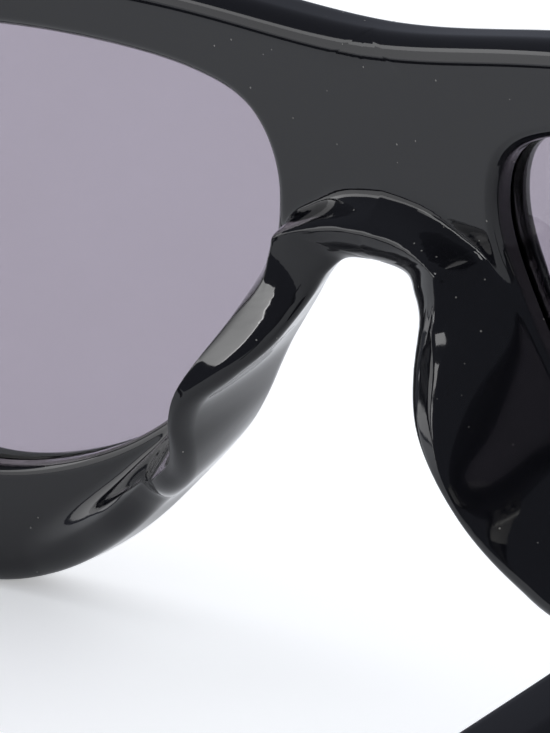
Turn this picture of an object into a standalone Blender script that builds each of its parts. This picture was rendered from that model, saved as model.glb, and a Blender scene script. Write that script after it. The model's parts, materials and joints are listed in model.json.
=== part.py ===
"""Sunglasses: a thick one-piece front with a saddle bridge and built-up nose pads, two tinted lenses
and two temples on five-barrel hinges. Metres, +Z up. The wearer looks along -Y and has their left at +X.
The front stands on its two lower rims and the temples on their tips, all at Z = 0. Y = 0 is the middle
of the depth."""

import math

import bmesh
import bpy
import numpy as np
from mathutils import Matrix, Vector

MM = 0.001

# Front
BRIDGE_WIDTH = 22.0 * MM
LENS_WIDTH = 53.0 * MM
LENS_HEIGHT = 37.5 * MM
RIM_TOP = 5.6 * MM
RIM_SIDE = 10.2 * MM
RIM_BOTTOM = 10.7 * MM
FRONT_THICKNESS = 5.2 * MM
FACE_RADIUS = 265.0 * MM
EDGE_WIDTH = 2.2 * MM
BACK_EDGE_DEPTH = 1.7 * MM
FRONT_EDGE_DEPTH = 2.1 * MM
LIP_WIDTH = 0.9 * MM
LIP_DEPTH = 0.9 * MM

# Saddle bridge and nose pads
PAD_HEIGHT = 9.9 * MM
FLANK_WIDTH = 3.2 * MM
CREST_WIDTH = 3.0 * MM
FLANK_EASING = 1.6
LEAN_START = 1.5 * MM
LIP_GROWTH_SHARE = 0.18

# Lenses
LENS_THICKNESS = 2.0 * MM
LENS_SETBACK = 1.8 * MM
GROOVE_DEPTH = 1.1 * MM
LENS_GAP = 0.15 * MM
LENS_CHAMFER = 0.3 * MM

# Temples
TEMPLE_LENGTH = 138.0 * MM
TIP_LENGTH = 40.0 * MM
TIP_ANGLE = math.radians(40.0)
BEND_RADIUS = 34.0 * MM
TEMPLE_THICKNESS = 4.0 * MM
TEMPLE_EDGE = 1.0 * MM
BUTT_HEIGHT = 11.0 * MM
SHANK_HEIGHT = 9.0 * MM
PADDLE_HEIGHT = 11.5 * MM
TEMPLE_INSET = 1.2 * MM
BUTT_GAP = 0.2 * MM
HINGE_DROP = 4.2 * MM

# Hinges
KNUCKLE_DIAMETER = 3.2 * MM
KNUCKLE_LENGTH = 1.6 * MM
KNUCKLE_GAP = 0.08 * MM
SCREW_DIAMETER = 1.4 * MM
SCREW_CLEARANCE = 0.04 * MM
HEAD_DIAMETER = 2.4 * MM
HEAD_HEIGHT = 0.6 * MM
HEAD_GAP = 0.05 * MM
LEAF_THICKNESS = 1.0 * MM
LEAF_MARGIN = 0.3 * MM
TAB_SIDE = 0.8 * MM
LEAF_LIP = 0.2 * MM
FRONT_LEAF_REACH = 3.0 * MM
TEMPLE_LEAF_REACH = 9.0 * MM
ANCHOR_DEPTH = 1.2 * MM
ANCHOR_MARGIN = 0.8 * MM
ANCHOR_HEIGHT = 4.0 * MM
POCKET_GAP = 0.12 * MM
AXIS_STANDOFF = 2.2 * MM
TEMPLE_STANDOFF = 2.0 * MM

# Core wires
WIRE_DIAMETER = 1.3 * MM
WIRE_CLEARANCE = 0.1 * MM
WIRE_END_MARGIN = 14.0 * MM

# Fineness of the meshes
OUTLINE_STATIONS = 60
BRIDGE_STATIONS = 11
BACK_ROWS = 13
FRONT_ROWS = 6
EDGE_ROWS = 3
LENS_EDGE_ROWS = 2
LENS_STATIONS = 64
LENS_RING_SHARES = (0.35, 0.68, 0.9)
SAMPLES = 160
CURVE_STEPS = 24
TURN_LENGTH = 1.6 * MM
TEMPLE_ROWS = 16
TIP_ROWS = 6
CORNER_STEPS = 3
BARREL_POINTS = 20
WIRE_POINTS = 24
SHARP_ANGLE = math.radians(40.0)
WELD = 0.001 * MM
STEEPEST_SLOPE = math.radians(30.0)
SLOPE_HALVINGS = 40
CUT_OVERRUN = 3.0 * MM

# Shares of the temple: where its tip starts to round, how nearly it closes, how much it thins there,
# and its height along it from butt 0 to shank 1 to paddle 2
TIP_START_SHARE = 0.955
TIP_CLOSE_SHARE = 0.985
TIP_THIN_SHARE = 0.35
CORNER_SHARE = 0.75
ANCHOR_SINK_SHARE = 0.5
HEAD_ROUND_SHARE = 0.35
TEMPLE_HEIGHT_SHARES = (
    (0.0, 0.0), (0.12, 0.1), (0.35, 0.6), (0.62, 1.0), (0.75, 1.2), (0.92, 2.0), (1.0, 2.0),
)

# Outlines as shares, going over the top, round the outside and back along the bottom to the nose
OUTER_SHARES = (
    (0.0, 0.950), (0.193, 0.972), (0.441, 0.998), (0.661, 0.998), (0.840, 0.975), (0.953, 0.925),
    (1.0, 0.815), (0.992, 0.650), (0.968, 0.440), (0.918, 0.235), (0.825, 0.075), (0.700, 0.0),
    (0.519, 0.052), (0.364, 0.204), (0.290, 0.310), (0.236, 0.396), (0.186, 0.492), (0.154, 0.565),
    (0.119, 0.620), (0.066, 0.645), (0.0, 0.650),
)
LENS_SHARES = (
    (0.0, 0.771), (0.030, 0.888), (0.104, 0.942), (0.245, 0.978), (0.500, 1.0), (0.740, 0.976),
    (0.885, 0.895), (0.965, 0.750), (1.0, 0.550), (0.987, 0.340), (0.928, 0.135), (0.815, 0.028),
    (0.680, 0.0), (0.550, 0.026), (0.400, 0.098), (0.276, 0.197), (0.148, 0.357), (0.070, 0.496),
    (0.022, 0.637),
)
# From the middle of the nose arch outward: place as a share of the half outline's length, then the
# ridge's height as a share of PAD_HEIGHT, how far it leans to the nose at its nose side and at its lens
# side for each step that it rises, its flank as a share of FLANK_WIDTH, and its crest of CREST_WIDTH
RIDGE_SHARES = (
    (0.0, 0.26, 0.0, 0.0, 1.0, 0.0), (0.020, 0.28, 0.12, 0.05, 0.80, 0.0),
    (0.034, 0.34, 0.32, 0.34, 0.48, 0.0), (0.048, 0.41, 0.47, 0.62, 0.38, 0.15),
    (0.062, 0.62, 0.43, 0.36, 0.50, 0.6), (0.078, 0.87, 0.28, 0.23, 0.65, 0.55),
    (0.092, 0.98, 0.18, 0.23, 0.75, 0.3), (0.106, 0.96, 0.18, 0.32, 0.75, 0.15),
    (0.120, 0.85, 0.25, 0.44, 0.75, 0.15), (0.134, 0.73, 0.30, 0.52, 0.75, 0.2),
    (0.150, 0.66, 0.27, 0.47, 0.75, 0.2), (0.166, 0.54, 0.23, 0.41, 0.75, 0.2),
    (0.184, 0.32, 0.18, 0.33, 0.75, 0.1), (0.204, 0.10, 0.08, 0.2, 0.75, 0.0),
    (0.230, 0.0, 0.0, 0.0, 0.75, 0.0), (1.0, 0.0, 0.0, 0.0, 0.75, 0.0),
)

HALF_WIDTH = BRIDGE_WIDTH / 2 + LENS_WIDTH + RIM_SIDE
FRONT_HEIGHT = RIM_BOTTOM + LENS_HEIGHT + RIM_TOP
FACE_MIDDLE = RIM_BOTTOM + LENS_HEIGHT / 2
FACE_BACK_LIMIT = -LENS_SETBACK + LENS_GAP
FACE_FRONT_LIMIT = -LENS_SETBACK - LENS_THICKNESS - LENS_GAP
TEMPLE_OUTER = HALF_WIDTH - TEMPLE_INSET
TEMPLE_INNER = TEMPLE_OUTER - TEMPLE_THICKNESS
AXIS_X = TEMPLE_INNER - TEMPLE_STANDOFF
HINGE_HEIGHT = RIM_BOTTOM + LENS_HEIGHT - HINGE_DROP
STACK_HEIGHT = 5 * KNUCKLE_LENGTH + 4 * KNUCKLE_GAP
LEAF_HEIGHT = STACK_HEIGHT + 2 * LEAF_MARGIN
SIDES = {"left": 1, "right": -1}


def face_bend(x, z):
    """How far back the curved front lies at a place on it."""
    return (x**2 + (z - FACE_MIDDLE) ** 2) / (2 * FACE_RADIUS)


AXIS_TILT = math.atan(AXIS_X / FACE_RADIUS)
AXIS_Y = face_bend(AXIS_X, HINGE_HEIGHT) + AXIS_STANDOFF / math.cos(AXIS_TILT)


def smooth_loop(points):
    """A closed cubic spline through the points, as many short straight steps."""
    after = np.roll(points, -1, axis=0)
    steps = np.linalg.norm(after - points, axis=1)
    before = np.roll(steps, 1)
    system = np.diag(2 * (before + steps))
    for i in range(len(points)):
        system[i, (i + 1) % len(points)] += steps[i]
        system[i, i - 1] += before[i]
    slopes = (after - points) / steps[:, None]
    bends = np.linalg.solve(system, 6 * (slopes - np.roll(slopes, 1, axis=0)))
    far = np.arange(CURVE_STEPS)[None, :, None] / CURVE_STEPS
    near = 1 - far
    curve = near * points[:, None] + far * after[:, None]
    pull = (near**3 - near) * bends[:, None] + (far**3 - far) * np.roll(bends, -1, axis=0)[:, None]
    return (curve + pull * steps[:, None, None] ** 2 / 6).reshape(-1, 2)


def lengths_along(path):
    return np.concatenate(([0.0], np.cumsum(np.linalg.norm(np.diff(path, axis=0), axis=1))))


def points_at(path, places):
    along = lengths_along(path)
    return np.column_stack([np.interp(places, along, path[:, axis]) for axis in range(2)])


def even_places(path, count):
    """Places along a path at equal steps of its length and of how much it turns. A third column is a
    height, which adds to the steps and not to the places."""
    steps = np.diff(path, axis=0)
    heading = np.unwrap(np.arctan2(steps[:, 1], steps[:, 0]))
    turning = np.abs(np.diff(heading, prepend=heading[0]))
    effort = np.cumsum(np.linalg.norm(steps, axis=1) + TURN_LENGTH * turning)
    effort = np.concatenate(([0.0], effort))
    return np.interp(np.linspace(0, effort[-1], count), effort, lengths_along(path[:, :2]))


def nearest(path, points):
    """Each point's distance from a path, and the place along the path that it is nearest to."""
    starts, steps = path[:-1], np.diff(path, axis=0)
    sizes = (steps**2).sum(axis=1)
    offsets = points[:, None] - starts
    shares = np.clip((offsets * steps).sum(axis=2) / sizes, 0, 1)
    squares = ((offsets - shares[..., None] * steps) ** 2).sum(axis=2)
    best = squares.argmin(axis=1)
    rows = np.arange(len(points))
    places = lengths_along(path)[best] + shares[rows, best] * np.sqrt(sizes[best])
    return np.sqrt(squares[rows, best]), places


def outer_path():
    """Half of the front's outline, from the top of the bridge round to the top of the nose arch."""
    half = np.array(OUTER_SHARES) * (HALF_WIDTH, FRONT_HEIGHT)
    mirrored = half[-2:0:-1] * (-1, 1)
    path = smooth_loop(np.vstack([half, mirrored]))[: CURVE_STEPS * (len(half) - 1) + 1]
    path[[0, -1], 0] = 0.0
    path[:, 1] -= path[:, 1].min()
    return path


def lens_path():
    """The left lens opening, closed, with its first point repeated at its end."""
    corner = (BRIDGE_WIDTH / 2, RIM_BOTTOM)
    path = smooth_loop(np.array(LENS_SHARES) * (LENS_WIDTH, LENS_HEIGHT) + corner)
    return np.vstack([path, path[:1]])


OUTER = outer_path()
OPENING = lens_path()
OUTER_LENGTH = lengths_along(OUTER)[-1]


def ridge_at(places):
    """The ridge's height, two leans, flank and crest at places along the outline, eased."""
    table = np.array(RIDGE_SHARES)
    shares = 1 - places / OUTER_LENGTH
    after = np.clip(np.searchsorted(table[:, 0], shares, side="right"), 1, len(table) - 1)
    low, high = table[after - 1], table[after]
    slopes = np.gradient(table[:, 1:], table[:, 0], axis=0)
    span = (high[:, 0] - low[:, 0])[:, None]
    t = np.clip((shares - low[:, 0])[:, None] / span, 0, 1)
    rise = low[:, 1:] * (1 + 2 * t) * (1 - t) ** 2 + high[:, 1:] * (3 - 2 * t) * t**2
    rise += span * (slopes[after - 1] * t * (1 - t) ** 2 - slopes[after] * (1 - t) * t**2)
    height, nose_lean, lens_lean, flank, crest = np.clip(rise, 0, 1).T
    return height * PAD_HEIGHT, nose_lean, lens_lean, flank * FLANK_WIDTH, crest * CREST_WIDTH


def rounding(distance, width):
    """A quarter round's drop, from 1 at the edge to 0 at its width from the edge."""
    inner = np.clip(1 - distance / width, 0, 1)
    return 1 - np.sqrt(1 - inner**2)


def back_depth(points):
    """How far the back of the unbent front stands behind its back plane, ridge and pads included."""
    outer, places = nearest(OUTER, points)
    lens, _ = nearest(OPENING, points)
    height, _, _, flank, crest = ridge_at(places)
    crest += EDGE_WIDTH
    reach = outer * (1 + ((crest + flank) / (outer + lens)) ** 4) ** 0.25
    down = np.clip((reach - crest) / flank, 0, 1)
    raised = height * ((1 + np.cos(np.pi * down)) / 2) ** FLANK_EASING
    lip = LIP_DEPTH + LIP_GROWTH_SHARE * raised
    return raised - BACK_EDGE_DEPTH * rounding(reach, EDGE_WIDTH) - lip * rounding(lens, LIP_WIDTH)


def front_depth(points):
    outer, _ = nearest(OUTER, points)
    lens, _ = nearest(OPENING, points)
    edges = FRONT_EDGE_DEPTH * rounding(outer, EDGE_WIDTH) + LIP_DEPTH * rounding(lens, LIP_WIDTH)
    return edges - FRONT_THICKNESS


def section_rows(inner, outer, depth, rows):
    """Points across the front from the lens opening to the outside, closer where the surface turns."""
    shares = (1 - np.cos(np.linspace(0, np.pi, SAMPLES))) / 2
    lines = inner[:, None] + shares[None, :, None] * (outer - inner)[:, None]
    depths = depth(lines.reshape(-1, 2)).reshape(len(inner), SAMPLES)
    sections = []
    for line, y in zip(lines, depths):
        across = np.linalg.norm(line - line[0], axis=1)
        path = np.column_stack([across, y])
        kept = points_at(path, even_places(path, rows))
        places = line[0] + np.outer(kept[:, 0] / across[-1], line[-1] - line[0])
        sections.append(np.column_stack([places[:, 0], kept[:, 1], places[:, 1]]))
    return np.array(sections)


def bridge_points():
    """Where sections meet the middle of the bridge, from the nose arch up, closer at its two edges."""
    heights = np.linspace(OUTER[-1, 1], OUTER[0, 1], SAMPLES)
    line = np.column_stack([np.zeros(SAMPLES), heights])
    path = np.column_stack([heights, back_depth(line)])
    kept = points_at(path, even_places(path, BRIDGE_STATIONS + 2))[1:-1]
    return np.column_stack([np.zeros(BRIDGE_STATIONS), kept[:, 0]])


def between(start, end, count):
    """Rows evenly between two rows of points, without either."""
    shares = np.arange(1, count + 1)[None, :, None] / (count + 1)
    return start[:, None] * (1 - shares) + end[:, None] * shares


def front_half_sections():
    """Closed sections round the left lens, and how each one's ridge leans towards the nose."""
    ridge = ridge_at(lengths_along(OUTER))[0]
    places = even_places(np.column_stack([OUTER, ridge]), OUTLINE_STATIONS)
    outer = np.vstack([points_at(OUTER, places), bridge_points()])
    outer[[0, OUTLINE_STATIONS - 1], 0] = 0.0
    inner = points_at(OPENING, nearest(OPENING, outer)[1])
    outward = (outer - inner) / np.linalg.norm(outer - inner, axis=1)[:, None]
    back = section_rows(inner, outer, back_depth, BACK_ROWS)
    front = section_rows(inner, outer, front_depth, FRONT_ROWS)[:, ::-1]
    edge = between(back[:, -1], front[:, 0], EDGE_ROWS)
    floor = inner + outward * GROOVE_DEPTH
    groove = [
        np.column_stack([place[:, 0], np.full(len(place), y), place[:, 1]])
        for place, y in (
            (inner, FACE_FRONT_LIMIT), (floor, FACE_FRONT_LIMIT),
            (floor, FACE_BACK_LIMIT), (inner, FACE_BACK_LIMIT),
        )
    ]
    lens_edge = between(groove[-1], back[:, 0], LENS_EDGE_ROWS)
    sections = np.concatenate([back, edge, front, np.stack(groove, axis=1), lens_edge], axis=1)
    _, nose_lean, lens_lean, _, _ = np.pad(ridge_at(places), ((0, 0), (0, BRIDGE_STATIONS)))[..., None]
    rise = np.clip(sections[..., 1], 0, None)
    across = np.linalg.norm(sections[..., ::2] - inner[:, None], axis=2)
    across = np.clip(across / np.linalg.norm(outer - inner, axis=1)[:, None], 0, 1)
    lens_side = lens_lean * rise**2 / (rise + LEAN_START)
    nose_side = nose_lean * (sections[..., 1] + FRONT_THICKNESS)
    shift = lens_side + (nose_side - lens_side) * across
    sections[..., 0] += shift * outward[:, None, 0]
    sections[..., 2] += shift * outward[:, None, 1]
    sections[..., 1] += face_bend(sections[..., 0], sections[..., 2])
    return sections


def add_node(name, mesh, material, parent=None):
    """A named piece of the object, smooth but for its hard edges."""
    mesh.materials.append(material)
    mesh.shade_smooth()
    mesh.set_sharp_from_angle(angle=SHARP_ANGLE)
    node = bpy.data.objects.new(name, mesh)
    node.parent = parent
    PARTS.objects.link(node)
    return node


def settle(shape, name, side, parent=None):
    """A mesh from a shape made for the left side, mirrored for the right, about its parent's place."""
    if side < 0:
        bmesh.ops.scale(shape, vec=(-1, 1, 1), verts=shape.verts)
    if parent:
        bmesh.ops.translate(shape, vec=-parent.location, verts=shape.verts)
    bmesh.ops.recalc_face_normals(shape, faces=shape.faces)
    mesh = bpy.data.meshes.new(name)
    shape.to_mesh(mesh)
    shape.free()
    return mesh


def make_solid(name, points, faces, material, side=1, parent=None):
    shape = bmesh.new()
    corners = [shape.verts.new(point) for point in points]
    for face in faces:
        shape.faces.new([corners[i] for i in face])
    return add_node(name, settle(shape, name, side, parent), material, parent)


def build_front():
    """The front as sections lofted round one lens opening, open at the middle and mirrored."""
    sections = front_half_sections()
    stations, rows = sections.shape[:2]
    station, row = np.meshgrid(np.arange(stations), np.arange(rows), indexing="ij")
    after, below = (station + 1) % stations, (row + 1) % rows
    corners = [station * rows + row, station * rows + below, after * rows + below, after * rows + row]
    on_middle = station >= OUTLINE_STATIONS - 1
    in_edge = (row >= BACK_ROWS - 1) & (row < BACK_ROWS + EDGE_ROWS)
    faces = np.stack(corners, axis=-1)[~(on_middle & in_edge)]
    used, faces = np.unique(faces, return_inverse=True)
    points = sections.reshape(-1, 3)[used]
    mesh = bpy.data.meshes.new("front_frame")
    mesh.from_pydata(points.tolist(), [], faces.reshape(-1, 4).tolist())
    front = add_node("front_frame", mesh, ACETATE)
    mirror = front.modifiers.new("other half", "MIRROR")
    mirror.merge_threshold = WELD
    return front


def loft(rings):
    """The points and faces of a closed solid through rings, each end closed round its ring's middle."""
    count, size = rings.shape[:2]
    ring, step = np.meshgrid(np.arange(count - 1), np.arange(size), indexing="ij")
    onward = (step + 1) % size
    corners = [ring * size + step, ring * size + onward, (ring + 1) * size + onward, (ring + 1) * size + step]
    faces = np.stack(corners, axis=-1).reshape(-1, 4).tolist()
    for first, middle in ((0, count * size), ((count - 1) * size, count * size + 1)):
        faces += [[first + i, first + (i + 1) % size, middle] for i in range(size)]
    return np.vstack([rings.reshape(-1, 3), rings[[0, -1]].mean(axis=1)]), faces


def build_lens(name, side):
    """A tinted lens that follows the front's curve, its edge seated in the rim's groove."""
    places = np.linspace(0, lengths_along(OPENING)[-1], LENS_STATIONS, endpoint=False)
    outline = points_at(OPENING, places)
    along = np.roll(outline, -1, axis=0) - np.roll(outline, 1, axis=0)
    outward = np.column_stack([-along[:, 1], along[:, 0]]) / np.linalg.norm(along, axis=1)[:, None]
    middle = outline.mean(axis=0)
    edge = outline + outward * (GROOVE_DEPTH - LENS_GAP)
    face = edge - outward * LENS_CHAMFER
    back, front = -LENS_SETBACK, -LENS_SETBACK - LENS_THICKNESS
    inside = [middle + (face - middle) * share for share in LENS_RING_SHARES] + [face]
    rings = [(flat, back) for flat in inside]
    rings += [(edge, back - LENS_CHAMFER), (edge, front + LENS_CHAMFER)]
    rings += [(flat, front) for flat in reversed(inside)]
    solid = np.array([np.column_stack([flat[:, 0], np.full(LENS_STATIONS, y), flat[:, 1]]) for flat, y in rings])
    solid[..., 1] += face_bend(solid[..., 0], solid[..., 2])
    return make_solid(name, *loft(solid), TINTED_LENS, side)


def temple_centreline(slope, shares):
    """Distance back, height and direction along a temple that slopes down, then bends behind the ear."""
    bend = BEND_RADIUS * TIP_ANGLE
    straight = TEMPLE_LENGTH - TIP_LENGTH - bend
    lengths = shares * TEMPLE_LENGTH
    run = np.minimum(lengths, straight)
    turn = np.clip((lengths - straight) / BEND_RADIUS, 0, TIP_ANGLE)
    tip = np.clip(lengths - straight - bend, 0, None)
    angle = slope + turn
    back = run * math.cos(slope) + BEND_RADIUS * (np.sin(angle) - math.sin(slope)) + tip * np.cos(angle)
    down = run * math.sin(slope) + BEND_RADIUS * (math.cos(slope) - np.cos(angle)) + tip * np.sin(angle)
    return back, HINGE_HEIGHT - down, angle


def temple_rings(slope):
    """Rounded rectangles across the left temple, from its butt on the front to its rounded tip."""
    ends = np.sin(np.linspace(0, np.pi / 2, TIP_ROWS))
    shares = np.concatenate([np.linspace(0, TIP_START_SHARE, TEMPLE_ROWS, endpoint=False),
                             TIP_START_SHARE + (1 - TIP_START_SHARE) * ends * TIP_CLOSE_SHARE])
    back, height, angle = temple_centreline(slope, shares)
    closing = np.clip((shares - TIP_START_SHARE) / (1 - TIP_START_SHARE), 0, 1)
    rounded = np.sqrt(1 - closing**2)
    key_shares, key_heights = np.array(TEMPLE_HEIGHT_SHARES).T
    keys = BUTT_HEIGHT + (SHANK_HEIGHT - BUTT_HEIGHT) * np.clip(key_heights, 0, 1)
    keys += (PADDLE_HEIGHT - SHANK_HEIGHT) * np.clip(key_heights - 1, 0, 1)
    tall = np.interp(shares, key_shares, keys) / 2 * rounded
    thick = TEMPLE_THICKNESS / 2 * (1 - TIP_THIN_SHARE * closing**2)
    corner = np.minimum(TEMPLE_EDGE, np.minimum(tall, thick) * CORNER_SHARE)
    rings = []
    for quarter in range(4):
        for turn in np.linspace(0, math.pi / 2, CORNER_STEPS + 1):
            around = turn + quarter * math.pi / 2
            across = math.cos(quarter * math.pi / 2 + math.pi / 4)
            upward = math.sin(quarter * math.pi / 2 + math.pi / 4)
            x = np.sign(across) * (thick - corner) + corner * math.cos(around)
            up = np.sign(upward) * (tall - corner) + corner * math.sin(around)
            middle = TEMPLE_OUTER - TEMPLE_THICKNESS / 2
            rings.append(np.column_stack([middle + x, back + up * np.sin(angle), height + up * np.cos(angle)]))
    rings = np.stack(rings, axis=1)
    rings[..., 1] += face_bend(TEMPLE_INNER, HINGE_HEIGHT)
    return cut_to_front(rings, slope)


def cut_to_front(rings, slope):
    """The temple's first section slid along it until it lies flat against the back of the front."""
    tip_slope = (HINGE_HEIGHT - FACE_MIDDLE) / FACE_RADIUS
    butt = rings[0]
    wall = face_bend(AXIS_X, HINGE_HEIGHT) + (butt[:, 0] - AXIS_X) * math.tan(AXIS_TILT)
    wall += (butt[:, 0] - AXIS_X) ** 2 / (2 * FACE_RADIUS) + BUTT_GAP
    lean = math.cos(slope) + tip_slope * math.sin(slope)
    travel = (wall + (butt[:, 2] - HINGE_HEIGHT) * tip_slope - butt[:, 1]) / lean
    butt[:, 1] += travel * math.cos(slope)
    butt[:, 2] -= travel * math.sin(slope)
    return rings


def resting_slope():
    """The slope at which a temple's tip just reaches the surface that the front stands on."""
    low, high = 0.0, STEEPEST_SLOPE
    for _ in range(SLOPE_HALVINGS):
        middle = (low + high) / 2
        if temple_rings(middle)[..., 2].min() > 0:
            low = middle
        else:
            high = middle
    return low


def box_shape(low, high):
    """A box between two corners."""
    shape = bmesh.new()
    bmesh.ops.create_cube(shape, size=1.0)
    low, high = Vector(low), Vector(high)
    bmesh.ops.scale(shape, vec=high - low, verts=shape.verts)
    bmesh.ops.translate(shape, vec=(low + high) / 2, verts=shape.verts)
    return shape


def prism_shape(outline, low, high):
    """A flat outline carried up from one height to another."""
    shape = bmesh.new()
    face = shape.faces.new([shape.verts.new((x, y, low)) for x, y in outline])
    raised = bmesh.ops.extrude_face_region(shape, geom=[face])["geom"]
    moved = [item for item in raised if isinstance(item, bmesh.types.BMVert)]
    bmesh.ops.translate(shape, vec=(0, 0, high - low), verts=moved)
    return shape


def add_helper(name, shape, side, matrix=Matrix()):
    """A hidden solid that another is joined with or cut by."""
    bmesh.ops.transform(shape, matrix=matrix, verts=shape.verts)
    helper = bpy.data.objects.new(name, settle(shape, name, side))
    CUTTERS.objects.link(helper)
    helper.hide_render = True
    helper.display_type = "WIRE"
    return helper


def combine(node, helper, operation):
    change = node.modifiers.new(helper.name, "BOOLEAN")
    change.operation = operation
    change.solver = "EXACT"
    change.object = helper


def knuckle_outline(depth):
    """A hinge knuckle's outline: a round about the axis with a tab down to its leaf."""
    radius = KNUCKLE_DIAMETER / 2
    start = -math.acos(TAB_SIDE / radius)
    angles = np.linspace(start, math.pi, BARREL_POINTS)
    around = [(radius * math.cos(angle), radius * math.sin(angle)) for angle in angles]
    return around + [(-radius, -depth), (TAB_SIDE, -depth)]


def leaf_boxes(standoff, reach):
    """The corners of a hinge leaf's plate and of the anchor beneath it, about the hinge's axis."""
    depth = standoff + LEAF_THICKNESS
    plate = ((-reach, -depth, -LEAF_HEIGHT / 2), (TAB_SIDE + LEAF_LIP, -standoff, LEAF_HEIGHT / 2))
    anchor = (
        (-reach + ANCHOR_MARGIN, -depth - ANCHOR_DEPTH, -ANCHOR_HEIGHT / 2),
        (TAB_SIDE - ANCHOR_MARGIN, -depth, ANCHOR_HEIGHT / 2),
    )
    return plate, anchor


def grown(corners, gap, past, opening):
    """A leaf's box grown by the gap that its pocket leaves, past its knuckles and out through the surface."""
    low, high = Vector(corners[0]), Vector(corners[1])
    return low - Vector((gap, gap, gap)), high + Vector((past, opening, gap))


def build_leaf(name, side, standoff, reach, slots, matrix, parent=None):
    """One leaf of a five-barrel hinge: plate, anchor and knuckles in one, bored for the screw."""
    plate, anchor = leaf_boxes(standoff, reach)
    shape = box_shape(*plate)
    bmesh.ops.transform(shape, matrix=matrix, verts=shape.verts)
    leaf = add_node(name, settle(shape, name, side, parent), HINGE_STEEL, parent)
    overlap = LEAF_THICKNESS * ANCHOR_SINK_SHARE
    anchor_top = Vector(anchor[1]) + Vector((0, overlap, 0))
    combine(leaf, add_helper(name + "_anchor", box_shape(anchor[0], anchor_top), side, matrix), "UNION")
    outline = knuckle_outline(standoff + LEAF_THICKNESS * (1 - ANCHOR_SINK_SHARE))
    for slot in slots:
        low = -STACK_HEIGHT / 2 + slot * (KNUCKLE_LENGTH + KNUCKLE_GAP)
        knuckle = prism_shape(outline, low, low + KNUCKLE_LENGTH)
        combine(leaf, add_helper(f"{name}_knuckle_{slot + 1}", knuckle, side, matrix), "UNION")
    bore = bmesh.new()
    radius = SCREW_DIAMETER / 2 + SCREW_CLEARANCE
    bmesh.ops.create_cone(bore, cap_ends=True, segments=BARREL_POINTS, radius1=radius, radius2=radius,
                          depth=STACK_HEIGHT + CUT_OVERRUN)
    combine(leaf, add_helper(name + "_bore", bore, side, matrix), "DIFFERENCE")
    return leaf


def cut_pockets(piece, name, side, standoff, reach, past, matrix):
    """The recess that a hinge leaf and its anchor are sunk in, the leaf's going past it by a length."""
    plate, anchor = leaf_boxes(standoff, reach)
    for kind, corners, end in (("plate", plate, past), ("anchor", anchor, POCKET_GAP)):
        shape = box_shape(*grown(corners, POCKET_GAP, end, standoff))
        combine(piece, add_helper(f"{name}_{kind}_pocket", shape, side, matrix), "DIFFERENCE")


def wire_curve(name, slope, radius, start, stop):
    """A round wire inside the left temple, along its middle."""
    back, height, _ = temple_centreline(slope, np.linspace(0, 1, SAMPLES))
    back += face_bend(TEMPLE_INNER, HINGE_HEIGHT)
    kept = even_places(np.column_stack([back, height]), WIRE_POINTS * 2)
    path = points_at(np.column_stack([back, height]), kept)
    places = lengths_along(path)
    keep = np.linspace(np.interp(start, path[:, 0], places), stop, WIRE_POINTS)
    path = points_at(path, keep)
    curve = bpy.data.curves.new(name, "CURVE")
    curve.dimensions = "3D"
    curve.bevel_depth = radius
    curve.bevel_resolution = 2
    curve.use_fill_caps = True
    spline = curve.splines.new("POLY")
    spline.points.add(WIRE_POINTS - 1)
    middle = TEMPLE_OUTER - TEMPLE_THICKNESS / 2
    for point, (y, z) in zip(spline.points, path):
        point.co = (middle, y, z, 1)
    helper = bpy.data.objects.new(name, curve)
    mesh = bpy.data.meshes.new_from_object(helper)
    bpy.data.objects.remove(helper)
    shape = bmesh.new()
    shape.from_mesh(mesh)
    bmesh.ops.remove_doubles(shape, verts=shape.verts, dist=WELD)
    return shape


def build_screw(name, side, axis):
    """A hinge screw turned about its axis, its head above the top knuckle."""
    top = STACK_HEIGHT / 2 + HEAD_GAP + HEAD_HEIGHT
    crown = HEAD_HEIGHT * HEAD_ROUND_SHARE
    shaft, head, bottom = SCREW_DIAMETER / 2, HEAD_DIAMETER / 2, -STACK_HEIGHT / 2
    profile = [(0, top), (head - crown, top), (head, top - crown), (head, top - HEAD_HEIGHT),
               (shaft, top - HEAD_HEIGHT), (shaft, bottom), (0, bottom)]
    mesh = bpy.data.meshes.new(name)
    mesh.from_pydata([(x, 0, z) for x, z in profile], [(i, i + 1) for i in range(len(profile) - 1)], [])
    screw = add_node(name, mesh, SCREW_STEEL, axis)
    turn = screw.modifiers.new("turned", "SCREW")
    turn.steps = turn.render_steps = BARREL_POINTS
    turn.use_merge_vertices = True
    turn.merge_threshold = WELD
    return screw


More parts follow.
